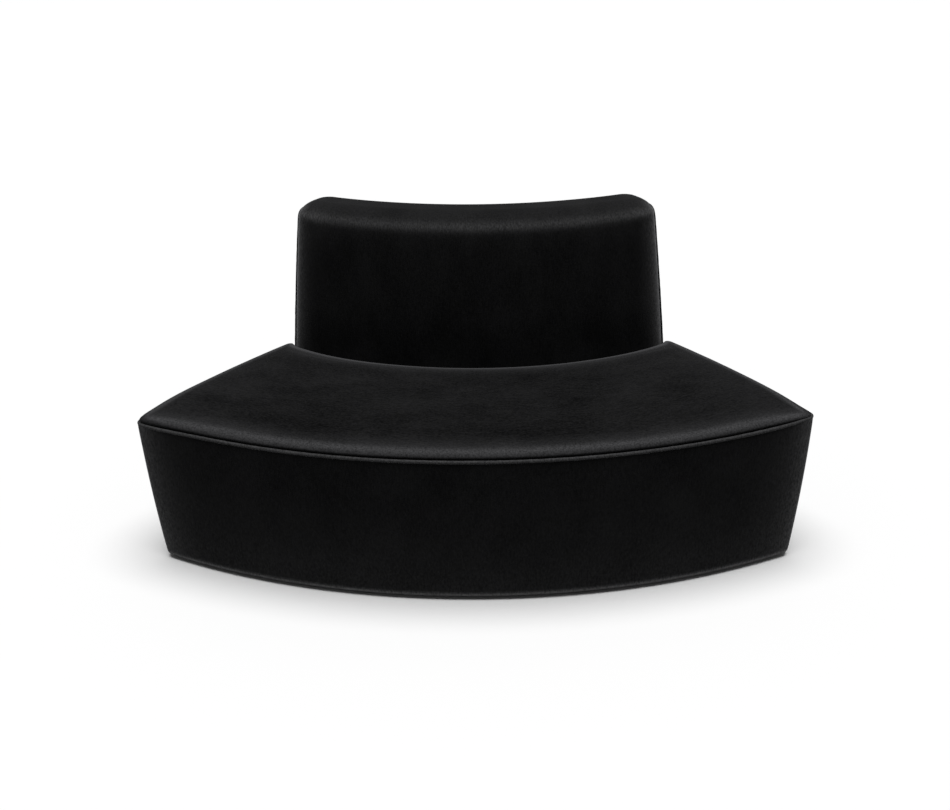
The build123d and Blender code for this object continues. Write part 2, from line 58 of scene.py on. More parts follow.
TAPER = 30.0               # how far the base draws in from the seam to the rim
BACK_RAKE = 4.5            # degrees
REAR_RAKE = 3.2            # degrees
BACK_END_INSET = 37.0
BACK_END_LEAN = 3.0        # degrees
CORNER_ROUND = 24.0
SEAT_ROLL = 22.0
TUCK_ROLL = 14.0
BACK_ROLL = 45.0
BACK_END_ROLL = 34.0
BACK_WELT = 3.2
COVER = 2.0
HEM = 25.0
FOOT_FROM_EDGE = 62.0      # front centre foot, in from the rim
LEAN = TAPER / (SEAM_HEIGHT - RIM_HEIGHT)
H = radians(HALF_ANGLE)
ALONG = np.array([-sin(H), -cos(H)])
ACROSS = np.array([-cos(H), sin(H)])
MIRROR = (-1, 1)

low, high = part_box("foot_front_centre")
RING_Y = (low.y + high.y) / 2 * MM + FRONT_RADIUS - TAPER - FOOT_FROM_EDGE


def front_r(z):
    return FRONT_RADIUS + (z - SEAM_HEIGHT) * LEAN


def rear_r(z):
    return REAR_RADIUS - (z - DECK_TOP) * LEAN


def back_face_r(z):
    return BACK_FACE_RADIUS - (z - SEAT_HEIGHT) * tan(radians(BACK_RAKE))


def back_rear_r(z):
    return REAR_RADIUS - (z - DECK_TOP) * tan(radians(REAR_RAKE))


def end_draw(z):
    return (SEAM_HEIGHT - z) * LEAN


def back_end_draw(z):
    return BACK_END_INSET + (z - SEAT_HEIGHT) * tan(radians(BACK_END_LEAN))


def corner_of(radius, draw, corner, side):
    """Centre of a rounded left corner, with its tangent points on the end and on the arc."""
    reach = radius - side * corner
    along = (reach**2 - (draw + corner) ** 2) ** 0.5
    centre = along * ALONG - (draw + corner) * ACROSS
    return centre, centre + corner * ACROSS, centre * radius / reach


def swing(centre, start, end, count):
    """Points round a centre from one point to another, the short way."""
    a, b = start - centre, end - centre
    first = atan2(a[1], a[0])
    turn = (atan2(b[1], b[0]) - first + pi) % (2 * pi) - pi
    angles = first + turn * np.linspace(0, 1, count + 1)
    return centre + hypot(*a) * np.stack([np.cos(angles), np.sin(angles)], 1)


def outline(front, rear, draw, front_corner, rear_corner, spans):
    """Closed level outline of a ring sector, from the middle of its front left corner on."""
    along_front, along_end, round_corner = spans
    shares = np.atleast_1d(along_end)
    front_centre, front_end, front_arc = corner_of(front, draw, front_corner, 1)
    rear_centre, rear_end, rear_arc = corner_of(rear, draw, rear_corner, -1)
    origin = np.zeros(2)
    flip = np.array([-1.0, 1.0])
    corner = swing(front_centre, front_end, front_arc, round_corner)
    tail = swing(rear_centre, rear_end, rear_arc, round_corner)
    side = front_end + shares[:, None] * (rear_end - front_end)
    half = round_corner // 2
    run = [corner[half:-1],
           swing(origin, front_arc, front_arc * flip, along_front)[:-1],
           (corner * flip)[::-1][:-1],
           (side * flip)[:-1],
           (tail * flip)[:-1],
           swing(origin, rear_arc * flip, rear_arc, along_front)[:-1],
           tail[::-1][:-1],
           side[::-1][:-1],
           corner[:half]]
    return np.concatenate(run)


def level(points, z):
    return np.column_stack([points, np.broadcast_to(z, len(points))])


def patch(ring, across_count, along_count):
    """Inner points of a four-sided cap on a closed ring, and the index of each of its corners."""
    count = len(ring)
    ids = np.arange(count)
    near = ids[: across_count + 1]
    right_side = ids[across_count : across_count + along_count + 1]
    far = ids[across_count + along_count : 2 * across_count + along_count + 1][::-1]
    left_side = np.concatenate([[0], ids[2 * across_count + along_count :][::-1]])
    u = np.linspace(0, 1, across_count + 1)[:, None, None]
    v = np.linspace(0, 1, along_count + 1)[None, :, None]
    grid = ((1 - v) * ring[near][:, None] + v * ring[far][:, None]
            + (1 - u) * ring[left_side][None] + u * ring[right_side][None]
            - (1 - u) * (1 - v) * ring[near[0]] - u * (1 - v) * ring[near[-1]]
            - (1 - u) * v * ring[far[0]] - u * v * ring[far[-1]])
    return grid, near, right_side, far, left_side


def capped(ring, first, across_count, along_count, offset, facing_up):
    """Points and faces that close a ring whose own points start at index first."""
    grid, near, right_side, far, left_side = patch(ring, across_count, along_count)
    index = np.full(grid.shape[:2], -1)
    index[:, 0], index[:, -1] = first + near, first + far
    index[0, :], index[-1, :] = first + left_side, first + right_side
    inner = grid[1:-1, 1:-1].reshape(-1, 3)
    index[1:-1, 1:-1] = offset + np.arange(len(inner)).reshape(grid.shape[0] - 2, -1)
    faces = []
    for i in range(across_count):
        for j in range(along_count):
            face = (index[i, j], index[i + 1, j], index[i + 1, j + 1], index[i, j + 1])
            faces.append(face if facing_up else face[::-1])
    return inner, faces


def lofted(rows, closed=False):
    """Points and faces of rings stacked one on the other."""
    count = len(rows[0])
    faces = []
    pairs = list(zip(range(len(rows) - 1), range(1, len(rows))))
    if closed:
        pairs.append((len(rows) - 1, 0))
    for a, b in pairs:
        for i in range(count):
            j = (i + 1) % count
            faces.append((a * count + i, a * count + j, b * count + j, b * count + i))
    return np.concatenate(rows), faces


def cushion(rows, spans, top=None):
    """Closed form from rings, with a four-sided cap above and below."""
    sides = len(np.atleast_1d(spans[1])) - 1
    across_count, along_count = spans[0] + spans[2], sides + spans[2]
    points, faces = lofted(rows)
    start = len(points) - len(rows[-1])
    inner, lid = capped(rows[-1], start, across_count, along_count, len(points), True)
    if top is not None:
        inner[:, 2] = top(inner)
    points = np.concatenate([points, inner])
    under, floor_faces = capped(rows[0], 0, across_count, along_count, len(points), False)
    return np.concatenate([points, under]), faces + lid + floor_faces


def placed(points):
    """From the ring's axis in millimetres to the part's frame in metres."""
    return (points + np.array([0, RING_Y, 0])) / MM


def mesh_piece(name, points, faces, material):
    mesh = bpy.data.meshes.new(name)
    mesh.from_pydata(placed(points).tolist(), [], [list(map(int, face)) for face in faces])
    mesh.validate()
    mesh.materials.append(material)
    mesh.polygons.foreach_set("use_smooth", [True] * len(mesh.polygons))
    piece = bpy.data.objects.new(name, mesh)
    bpy.context.scene.collection.objects.link(piece)
    return piece


def coordinates(piece):
    flat = np.empty(len(piece.data.vertices) * 3)
    piece.data.vertices.foreach_get("co", flat)
    return flat.reshape(-1, 3)


def set_coordinates(piece, points):
    piece.data.vertices.foreach_set("co", np.ascontiguousarray(points).ravel())
    piece.data.update()


def subdivided(piece):
    """Apply one level of subdivision surface."""
    modifier = piece.modifiers.new("subdivision", "SUBSURF")
    modifier.levels = modifier.render_levels = 1
    graph = bpy.context.evaluated_depsgraph_get()
    mesh = bpy.data.meshes.new_from_object(piece.evaluated_get(graph))
    piece.modifiers.clear()
    old = piece.data
    piece.data = mesh
    bpy.data.meshes.remove(old)
    mesh.name = piece.name
    mesh.polygons.foreach_set("use_smooth", [True] * len(mesh.polygons))


def eased(piece, values, held, times):
    """Even out a value over neighbouring points, zero where the cover is held."""
    ends = np.array([edge.vertices[:] for edge in piece.data.edges])
    count = np.bincount(ends.ravel(), minlength=len(values))
    for _ in range(times):
        total = np.bincount(ends[:, 0], values[ends[:, 1]], len(values))
        total += np.bincount(ends[:, 1], values[ends[:, 0]], len(values))
        values = np.where(held, 0, (values + total / count) / 2)
    return values


STUFFING = {"mass": 0.3, "quality": 5, "tension_stiffness": 20, "compression_stiffness": 20,
            "shear_stiffness": 10, "bending_stiffness": 2, "uniform_pressure_force": 4.0}
STUFFING_FRAMES = 20
SWELL_CAP = 9.0            # most that a cover may swell
SWELL_EASING = 12


def stuffed(piece, held, slack):
    """Fill a closed cover with pressure as cloth, and keep the swelling its slack lets through."""
    start = coordinates(piece)
    group = piece.vertex_groups.new(name="held")
    group.add([int(i) for i in np.flatnonzero(held)], 1.0, "REPLACE")
    cloth = piece.modifiers.new("stuffing", "CLOTH")
    cloth.settings.vertex_group_mass = "held"
    cloth.settings.use_pressure = True
    for key, value in STUFFING.items():
        setattr(cloth.settings, key, value)
    cloth.settings.effector_weights.gravity = 0
    cloth.collision_settings.use_collision = False
    cloth.collision_settings.use_self_collision = False
    cloth.point_cache.frame_start = 1
    cloth.point_cache.frame_end = STUFFING_FRAMES
    scene = bpy.context.scene
    for number in range(1, STUFFING_FRAMES + 1):
        scene.frame_set(number)
    graph = bpy.context.evaluated_depsgraph_get()
    mesh = bpy.data.meshes.new_from_object(piece.evaluated_get(graph))
    flat = np.empty(len(mesh.vertices) * 3)
    mesh.vertices.foreach_get("co", flat)
    bpy.data.meshes.remove(mesh)
    piece.modifiers.clear()
    piece.vertex_groups.clear()
    scene.frame_set(1)
    normals = np.empty(len(piece.data.vertices) * 3)
    piece.data.vertices.foreach_get("normal", normals)
    normals = normals.reshape(-1, 3)
    swell = np.maximum(((flat.reshape(-1, 3) - start) * normals).sum(1), 0)
    swell = slack * SWELL_CAP / MM * np.tanh(swell * MM / SWELL_CAP)
    set_coordinates(piece, start + normals * eased(piece, swell, held, SWELL_EASING)[:, None])


def tube(path, radius, sides, ripple=0.0, seed=0):
    """Points and faces of a round cord along a path, closed at both ends."""
    path = np.asarray(path)
    tangent = np.gradient(path, axis=0)
    tangent /= np.linalg.norm(tangent, axis=1, keepdims=True)
    normal = np.cross(tangent[0], (0.0, 0.0, 1.0))
    if np.linalg.norm(normal) < 0.1:
        normal = np.cross(tangent[0], (0.0, 1.0, 0.0))
    normal /= np.linalg.norm(normal)
    draws = np.random.default_rng(seed).normal(size=(len(path), sides))
    smooth = (draws + np.roll(draws, 1, 0) + np.roll(draws, -1, 0) + np.roll(draws, 1, 1)) / 2
    rows = []
    for index, (point, along) in enumerate(zip(path, tangent)):
        normal = normal - along * normal.dot(along)
        normal /= np.linalg.norm(normal)
        side = np.cross(along, normal)
        turn = 2 * pi * np.arange(sides) / sides
        size = (radius + ripple * smooth[index])[:, None]
        rows.append(point + size * (np.cos(turn)[:, None] * normal + np.sin(turn)[:, None] * side))
    points, faces = lofted(rows)
    faces.append(tuple(range(sides))[::-1])
    faces.append(tuple(len(points) - sides + np.arange(sides)))
    return points, faces


def resampled(path, step):
    """Even points along a polyline."""
    path = np.asarray(path)
    run = np.concatenate([[0], np.cumsum(np.linalg.norm(np.diff(path, axis=0), axis=1))])
    count = max(int(run[-1] / step), 4)
    marks = np.linspace(0, run[-1], count + 1)
    return np.stack([np.interp(marks, run, path[:, k]) for k in range(3)], 1)


# Materials
ARC_RADIUS = 1.3           # metres, turns an angle about the ring into a length
NOISE_RANGE = (0.3, 0.7)   # where most of a noise lies


def new_material(name):
    material = bpy.data.materials.new(name)
    material.use_nodes = True
    tree = material.node_tree
    return material, tree, tree.nodes["Principled BSDF"]


def add(tree, kind, **values):
    node = tree.nodes.new(kind)
    for key, value in values.items():
        setattr(node, key, value)
    return node


def math_node(tree, operation, first, second=None):
    node = add(tree, "ShaderNodeMath", operation=operation)
    for socket, value in zip(node.inputs, (first, second)):
        if isinstance(value, (int, float)):
            socket.default_value = value
        elif value is not None:
            tree.links.new(value, socket)
    return node.outputs[0]


def ring_coordinates(tree):
    """Arc length, radius and height of a surface point, in metres."""
    split = add(tree, "ShaderNodeSeparateXYZ")
    tree.links.new(add(tree, "ShaderNodeTexCoord").outputs["Object"], split.inputs[0])
    away = math_node(tree, "SUBTRACT", RING_Y / MM, split.outputs["Y"])
    angle = math_node(tree, "ARCTAN2", split.outputs["X"], away)
    flat = add(tree, "ShaderNodeCombineXYZ")
    tree.links.new(split.outputs["X"], flat.inputs["X"])
    tree.links.new(away, flat.inputs["Y"])
    span = add(tree, "ShaderNodeVectorMath", operation="LENGTH")
    tree.links.new(flat.outputs[0], span.inputs[0])
    joined = add(tree, "ShaderNodeCombineXYZ")
    tree.links.new(math_node(tree, "MULTIPLY", angle, ARC_RADIUS), joined.inputs["X"])
    tree.links.new(span.outputs["Value"], joined.inputs["Y"])
    tree.links.new(split.outputs["Z"], joined.inputs["Z"])
    return joined.outputs[0]


def noise(tree, vector, scale, stretch=(1, 1, 1), detail=2.0, roughness=0.5):
    mapping = add(tree, "ShaderNodeMapping")
    mapping.inputs["Scale"].default_value = stretch
    tree.links.new(vector, mapping.inputs["Vector"])
    node = add(tree, "ShaderNodeTexNoise")
    node.inputs["Scale"].default_value = scale
    node.inputs["Detail"].default_value = detail
    node.inputs["Roughness"].default_value = roughness
    tree.links.new(mapping.outputs[0], node.inputs["Vector"])
    return node.outputs["Fac"]


def ramp(tree, value, low_stop, high_stop):
    node = add(tree, "ShaderNodeValToRGB")
    for element, (position, colour) in zip(node.color_ramp.elements, (low_stop, high_stop)):
        element.position = position
        element.color = (*colour, 1)
    tree.links.new(value, node.inputs["Fac"])
    return node.outputs["Color"]


def spread(tree, value, low_value, high_value):
    node = add(tree, "ShaderNodeMapRange")
    node.inputs["From Min"].default_value, node.inputs["From Max"].default_value = NOISE_RANGE
    node.inputs["To Min"].default_value = low_value
    node.inputs["To Max"].default_value = high_value
    tree.links.new(value, node.inputs["Value"])
    return node.outputs["Result"]


def bumped(tree, shader, layers):
    """Chain of bumps: each layer is a height, a strength and a depth in metres."""
    normal = None
    for height, strength, depth in layers:
        node = add(tree, "ShaderNodeBump")
        node.inputs["Strength"].default_value = strength
        node.inputs["Distance"].default_value = depth
        tree.links.new(height, node.inputs["Height"])
        if normal is not None:
            tree.links.new(normal, node.inputs["Normal"])
        normal = node.outputs["Normal"]
    tree.links.new(normal, shader.inputs["Normal"])


# Pile of the velvet, with noise scales per metre
CLOUDS, SPECKLE, HAIRS, FUZZ = 8, 200, 320, 280
CLOUD_SOFTENING = 0.3      # power that eases the stretch of the nap in the clouds
# The fuzz noise only breaks up the painted highlights.
FUZZ_STRETCH = (1, 1, 0.35)
FUZZ_SPREAD = (0.35, 1.65)
PILE_STOPS = (0.40, 0.60)
PILE_ROUGHNESS = (0.75, 0.95)
PILE_SPECULAR = 0.03
SHEEN, SHEEN_ROUGHNESS = 0.4, 0.25
SHEEN_TINT = (0.96, 0.97, 1.0, 1)
CLOUD_RELIEF, SPECKLE_RELIEF, HAIR_RELIEF = (0.2, 0.006), (0.35, 0.002), (0.35, 0.0008)


def velvet(name, nap, cloudy, dark, pale, highlight_colour):
    """Near-black velvet: short brushed pile, with a painted highlight colour mixed in where the
    edge attribute marks it.
    """
    material, tree, shader = new_material(name)
    vector = ring_coordinates(tree)
    clouds = noise(tree, vector, CLOUDS, tuple(share**CLOUD_SOFTENING for share in nap), 5, 0.62)
    speckle = noise(tree, vector, SPECKLE, (1, 1, 1), 3, 0.6)
    hairs = noise(tree, vector, HAIRS, nap, 2, 0.6)
    fuzz = noise(tree, vector, FUZZ, FUZZ_STRETCH, 3, 0.65)
    fine = (1 - cloudy) / 2
    mixed = 0.0
    for value, share in ((clouds, cloudy), (speckle, fine), (hairs, fine)):
        mixed = math_node(tree, "ADD", math_node(tree, "MULTIPLY", value, share), mixed)
    ground = ramp(tree, mixed, (PILE_STOPS[0], dark), (PILE_STOPS[1], pale))
    # The edge attribute is a mask of painted highlights, broken up by the fuzz noise and mixed in
    # over the ground.
    edge = add(tree, "ShaderNodeAttribute", attribute_name="edge")
    fuzzy = spread(tree, fuzz, *FUZZ_SPREAD)
    highlight_share = math_node(tree, "MULTIPLY", edge.outputs["Fac"], fuzzy)
    blend = add(tree, "ShaderNodeMix", data_type="RGBA", clamp_factor=True)
    tree.links.new(highlight_share, blend.inputs["Factor"])
    tree.links.new(ground, blend.inputs["A"])
    blend.inputs["B"].default_value = (*highlight_colour, 1)
    tree.links.new(blend.outputs["Result"], shader.inputs["Base Color"])
    tree.links.new(spread(tree, speckle, *PILE_ROUGHNESS), shader.inputs["Roughness"])
    shader.inputs["Specular IOR Level"].default_value = PILE_SPECULAR
    shader.inputs["Sheen Weight"].default_value = SHEEN
    shader.inputs["Sheen Roughness"].default_value = SHEEN_ROUGHNESS
    shader.inputs["Sheen Tint"].default_value = SHEEN_TINT
    bumped(tree, shader, ((clouds, *CLOUD_RELIEF), (speckle, *SPECKLE_RELIEF),
                          (hairs, *HAIR_RELIEF)))
    return material


def mark_painted_highlight(piece, values):
    """Store the share of painted highlight at each point."""
    layer = piece.data.attributes.new("edge", "FLOAT", "POINT")
    layer.data.foreach_set("value", np.ascontiguousarray(values, dtype=np.float32))


def ring_points(piece):
    """Points of a piece about the axis of the ring, in millimetres."""
    return coordinates(piece) * MM - np.array([0, RING_Y, 0])


def reach(points):
    """Distance from the axis of the ring."""
    return np.hypot(points[:, 0], points[:, 1])


def end_depth(points):
    """Distance inside the nearer end plane."""
    return np.minimum(-(points[:, :2] @ ACROSS), -(points[:, :2] * MIRROR) @ ACROSS)


def tip_distance(points, radius):
    """Distance in plan from the nearer corner of the front."""
    return np.minimum(*(np.linalg.norm(points[:, :2] - radius * ALONG * (side, 1), axis=1)
                        for side in (-1, 1)))


def hump(value, middle, width):
    return np.exp(-(((value - middle) / width) ** 2))


def bands(value, rows):
    """Sum of soft bands, each an amount, a middle and a width."""
    return sum(amount * hump(value, middle, width) for amount, middle, width in rows)


# The last colour of each velvet is its painted highlight, mixed in where the edge attribute marks
# it.
seat_velvet = velvet("velvet_seat", nap=(0.22, 1, 1), cloudy=0.3, dark=(0.0014, 0.0014, 0.0015),
                     pale=(0.0138, 0.0137, 0.0141), highlight_colour=(0.075, 0.075, 0.078))
upright_velvet = velvet("velvet_upright", nap=(1, 1, 0.2), cloudy=0.36,
                        dark=(0.0036, 0.0036, 0.0038), pale=(0.0118, 0.0118, 0.0122),
                        highlight_colour=(0.2, 0.2, 0.204))
welt_velvet = velvet("velvet_welt", nap=(1, 1, 1), cloudy=0.2, dark=(0.004, 0.004, 0.0042),
                     pale=(0.02, 0.02, 0.0207), highlight_colour=(0.15, 0.15, 0.153))
GRAIN_STOPS = (0.35, 0.65)
GRAIN_RELIEF = 0.3
FINER = 6                  # how much finer the small grain is than the large


def plain_material(name, colours, roughness, metallic, scale, stretch, depth):
    """Solid finish with grain: two colours, a spread of roughness and a fine relief."""
    material, tree, shader = new_material(name)
    vector = ring_coordinates(tree)
    grain = noise(tree, vector, scale, stretch, 3, 0.6)
    fine = noise(tree, vector, scale * FINER, stretch, 2, 0.5)
    colour = ramp(tree, grain, *zip(GRAIN_STOPS, colours))
    tree.links.new(colour, shader.inputs["Base Color"])
    tree.links.new(spread(tree, fine, *roughness), shader.inputs["Roughness"])
    shader.inputs["Metallic"].default_value = metallic
    bumped(tree, shader, ((grain, GRAIN_RELIEF, depth), (fine, GRAIN_RELIEF, depth / 3)))
    return material


plywood = plain_material("plywood", ((0.42, 0.28, 0.15), (0.68, 0.51, 0.33)), (0.5, 0.75), 0.0,
                         18, (1, 0.25, 6), 0.0006)
bent_ply = plain_material("bent_ply", ((0.46, 0.32, 0.19), (0.72, 0.56, 0.38)), (0.55, 0.8), 0.0,
                          22, (6, 1, 0.25), 0.0006)
glide_plastic = plain_material("glide_plastic", ((0.018, 0.018, 0.019), (0.032, 0.032, 0.034)),
                               (0.4, 0.6), 0.0, 220, (1, 1, 1), 0.0002)
zinc_steel = plain_material("zinc_steel", ((0.42, 0.42, 0.40), (0.62, 0.62, 0.60)),
                            (0.25, 0.45), 1.0, 60, (4, 1, 1), 0.0001)
dust_cloth = plain_material("dust_cloth", ((0.012, 0.012, 0.013), (0.03, 0.03, 0.031)),
                            (0.85, 1.0), 0.0, 520, (1, 1, 1), 0.0005)


def is_foot(name):
    return name.startswith("foot_") and "tee" not in name


for name, node in nodes_of.items():
    material = plywood
    if name.endswith("skin"):
        material = bent_ply
    elif is_foot(name):
        material = glide_plastic
    elif name.startswith("ganging") or "nuts" in name or "bolts" in name:
        material = zinc_steel
    node.data.materials.clear()
    node.data.materials.append(material)

# Seat cushion: walls inside the band, pulled in at the seam, rolled over and crowned
FRONT_COUNT, CORNER_COUNT = 132, 6
seat_spans = (FRONT_COUNT, np.linspace(0, 1, 43), CORNER_COUNT)
WALL_IN = 4.0
CROWN, CROWN_RUN = 4.0, 80
CORNER_DROP, DROP_WIDTH = 13.0, 100
CORNER_TUCK, TUCK_WIDTH = 6.0, 70
CORNER_SAG, SAG_WIDTH = 9.0, 130
CORNER_SLACK_WIDTH = 160
END_LIFT, END_LIFT_WIDTH = 5.5, 220
LIFT_LEAD, LIFT_RUN = 40, 680
FOLLOW = 38.0              # most that the rear edge runs back round the foot of the back
FOLLOW_START, FOLLOW_FADE = 15, 90
FOOT_OUT = 20.0            # how much wider the back is at its foot
BACK_PLAY = 0.3            # between the seat and the face of the back
SEAM_INSETS = ((-3, 5), (2, 6), (5, 5.5), (7, 3.8))  # height from the seam, and inset there
LID_INSETS = (30, 42, 56)
ABOVE_SEAM = 3

# Painted highlights and painted light on the seat, as soft bands of an amount, a middle and a width
# Painted highlights over the front roll and the end rolls
FRONT_BANDS = ((0.42, 13, 12), (0.15, 24, 34))
END_BANDS = ((0.5, 25, 10),)
# Painted bright line along the seat's rear edge, where it meets the back
TUCK_BANDS = ((1.4, 16, 12), (0.22, 30, 40))
# Painted light, growing lighter towards the ends of the seat
END_GLOW, END_GLOW_RUN = 0.07, 180


def sagged(points):
    """How far the seat seam has settled towards its corner on the left of the picture."""
    corner = FRONT_RADIUS * np.array([-abs(ALONG[0]), ALONG[1]])
    return CORNER_SAG * hump(np.linalg.norm(points[:, :2] - corner, axis=1), 0, SAG_WIDTH)


def seat_top(points):
    """Height of the top of the seat."""
    radius = reach(points)
    depth = np.stack([FRONT_RADIUS - radius, radius - BACK_FACE_RADIUS + SEAT_ROLL - TUCK_ROLL,
                      -(points[:, :2] @ ACROSS), -(points[:, :2] * MIRROR) @ ACROSS])
    rise = np.prod(1 - np.exp(-np.maximum(depth - SEAT_ROLL, 0) / CROWN_RUN), axis=0)
    return SEAT_HEIGHT + CROWN * rise


def bowed(points):
    """How far the foot of the back stands forward of its arc: out in the middle, in at the ends."""
    angle = np.degrees(np.arctan2(np.abs(points[:, 0]), -points[:, 1]))
    share = np.clip(angle / (HALF_ANGLE - 2), 0, 1)
    return 7 - 18 * share**2 - 16 * share**6


def follow(points):
    """How far the rear edge of the seat runs back along the foot of the back and round its ends."""
    turn = BACK_END_INSET - FOOT_OUT + BACK_END_ROLL - end_depth(points)
    turn = np.clip(turn, 0, BACK_END_ROLL)
    back = BACK_END_ROLL - (BACK_END_ROLL**2 - turn**2) ** 0.5 - bowed(points)
    return np.minimum(back, FOLLOW)


def seat_ring(z, drawn):
    """Level outline of the seat, drawn in from its walls."""
    over = min(max(z - (SEAT_HEIGHT - TUCK_ROLL), 0.0), TUCK_ROLL)
    tucked = TUCK_ROLL - (TUCK_ROLL**2 - over**2) ** 0.5 + max(drawn - SEAT_ROLL, 0.0)
    wall = min(z, SEAT_HEIGHT - SEAT_ROLL)
    corner = CORNER_ROUND + (0.8 * drawn if z > SEAM_HEIGHT else 0.0)
    rear_corner = max(TUCK_ROLL - 0.2 * drawn, 6.0)
    return level(outline(front_r(wall) - drawn, back_face_r(wall) + BACK_PLAY + tucked,
                         end_draw(wall) + drawn, corner, rear_corner, seat_spans), z)


seat_rows = [seat_ring(z, WALL_IN) for z in np.linspace(DECK_TOP + 1, SEAM_HEIGHT - 8, 7)]
seat_rows += [seat_ring(SEAM_HEIGHT + rise, inset) for rise, inset in SEAM_INSETS]
for turn in np.radians(np.linspace(22, 90, 8)):
    seat_rows.append(seat_ring(SEAT_HEIGHT - SEAT_ROLL + SEAT_ROLL * sin(turn),
                               SEAT_ROLL * (1 - cos(turn))))
for drawn in LID_INSETS:
    ring = seat_ring(SEAT_HEIGHT, drawn)
    ring[:, 2] = seat_top(ring)
    seat_rows.append(ring)
points, faces = cushion(seat_rows, seat_spans, seat_top)
lift = (points[:, 2] - SEAM_HEIGHT - ABOVE_SEAM) / (SEAT_HEIGHT - SEAM_HEIGHT - ABOVE_SEAM)
lift = np.clip(lift, 0, 1)
near = reach(points)
bow = np.sin(pi * np.clip((FRONT_RADIUS - near + LIFT_LEAD) / LIFT_RUN, 0, 1))
bow *= hump(end_depth(points), 0, END_LIFT_WIDTH)
away = tip_distance(points, FRONT_RADIUS)
fade = np.clip(1 - (near - BACK_FACE_RADIUS - FOLLOW_START) / FOLLOW_FADE, 0, 1)
points[:, :2] *= 1 - (follow(points) * fade / near)[:, None]
points[:, 2] += (lift * (END_LIFT * bow - CORNER_DROP * hump(away, 0, DROP_WIDTH))
                 - (1 - lift) * sagged(points))
points[:, :2] *= 1 - (CORNER_TUCK / FRONT_RADIUS * lift * hump(away, 0, TUCK_WIDTH))[:, None]
seat = mesh_piece("seat_cushion", points, faces, seat_velvet)
held = points[:, 2] < SEAM_HEIGHT + ABOVE_SEAM
slack = np.clip((points[:, 2] - SEAM_HEIGHT - 6) / 14, 0, 1)
stuffed(seat, held, slack * (1 - hump(away, 0, CORNER_SLACK_WIDTH)))
subdivided(seat)
points = ring_points(seat)
aside = end_depth(points)
# Painted highlights over the front and end rolls, kept off the silhouette line at the ends and off
# the welt
rolled = np.maximum(bands(FRONT_RADIUS - reach(points), FRONT_BANDS), bands(aside, END_BANDS))
rolled *= np.clip((aside - 9) / 6, 0.1, 1)
rolled *= np.clip((points[:, 2] - SEAM_HEIGHT - 5) / 9, 0, 1)
# Painted light, growing lighter towards the ends of the seat
rolled += END_GLOW * np.exp(-np.maximum(aside, 0) / END_GLOW_RUN)
# Painted bright line along the seat's rear edge, where it meets the back
tucked = bands(reach(points) - BACK_FACE_RADIUS + follow(points), TUCK_BANDS)
on_top = points[:, 2] > SEAM_HEIGHT + ABOVE_SEAM
mark_painted_highlight(seat, np.where(on_top, np.maximum(rolled, tucked), 0))

# Base cover: one band round the base, turned under at the rim and in at the top
STEP_HEIGHT = 370          # level at which the step beside the back is set out
STEP_RADIUS = back_face_r(STEP_HEIGHT) - FOLLOW + 4
STEP = (front_r(STEP_HEIGHT) - STEP_RADIUS) / (front_r(STEP_HEIGHT) - rear_r(STEP_HEIGHT))
end_shares = np.concatenate([np.linspace(0, STEP - 0.02, 30), [STEP - 0.004, STEP + 0.004],
                             np.linspace(STEP + 0.02, 1, 9)])
band_spans = (FRONT_COUNT, end_shares, CORNER_COUNT)
RIM_CORNER = 5.0           # how much rounder the corners are at the rim
RIM_LIFT, RIM_LIFT_WIDTH, RIM_LIFT_RUN = 1.5, 60, 50
SAG_RUN = 80               # height over which the settled seam fades out below
BULGE, BULGE_POWER = 4.0, 0.8
LEDGE_TURN, LEDGE_DEPTH = 25.0, 12
PROBE = 30                 # inset of the second ring that insets are measured between
# Painted highlight: a pale line just above the rim
RIM_BANDS = ((0.85, RIM_HEIGHT + 3, 6),)
# Painted bounce light from the floor, lighter towards the rim
RIM_GLOW, RIM_GLOW_RUN = 0.085, 140
# Painted sheen, lighter towards the ends of the band near its front corners
CORNER_GLOW, CORNER_GLOW_RUN, CORNER_GLOW_WIDTH = 0.5, 40, 50


def band_ring(z, inset):
    """Plan outline of the band at a height."""
    share = (SEAM_HEIGHT - z) / (SEAM_HEIGHT - RIM_HEIGHT)
    corner = max(CORNER_ROUND + RIM_CORNER * share - inset, 3.0)
    return outline(front_r(z) - inset, rear_r(z) + inset, end_draw(z) + inset, corner, corner,
                   band_spans)


rim_ring, rim_probe = band_ring(RIM_HEIGHT, 0), band_ring(RIM_HEIGHT, PROBE)
seam_ring, seam_probe = band_ring(SEAM_HEIGHT, 0), band_ring(SEAM_HEIGHT, PROBE)
reference = band_ring(STEP_HEIGHT, 0)
under_seat = reach(reference) > STEP_RADIUS
on_ledge = (~under_seat) & (end_depth(reference) - end_draw(STEP_HEIGHT) < LEDGE_DEPTH)
rear_top = np.where(on_ledge, DECK_TOP + COVER, DECK_TOP - 0.5)
band_top = np.where(under_seat, SEAM_HEIGHT, rear_top)
turn_in = np.where(on_ledge, LEDGE_TURN, COVER)


def band_row(share, inset, drop=0.0):
    """Ring at a share of the height between the rim and the top edge."""
    z = RIM_HEIGHT + 4 + share * (band_top - drop - RIM_HEIGHT - 4)
    inset = np.broadcast_to(inset, len(z))
    part = ((z - RIM_HEIGHT) / (SEAM_HEIGHT - RIM_HEIGHT))[:, None]
    outer = rim_ring + part * (seam_ring - rim_ring)
    inner = rim_probe + part * (seam_probe - rim_probe)
    return np.column_stack([outer + (inset / PROBE)[:, None] * (inner - outer), z])


def hem_row(rise, inset):
    """Ring of the turned hem, a little above the rim."""
    return level(rim_ring + (inset / PROBE) * (rim_probe - rim_ring), RIM_HEIGHT + rise)


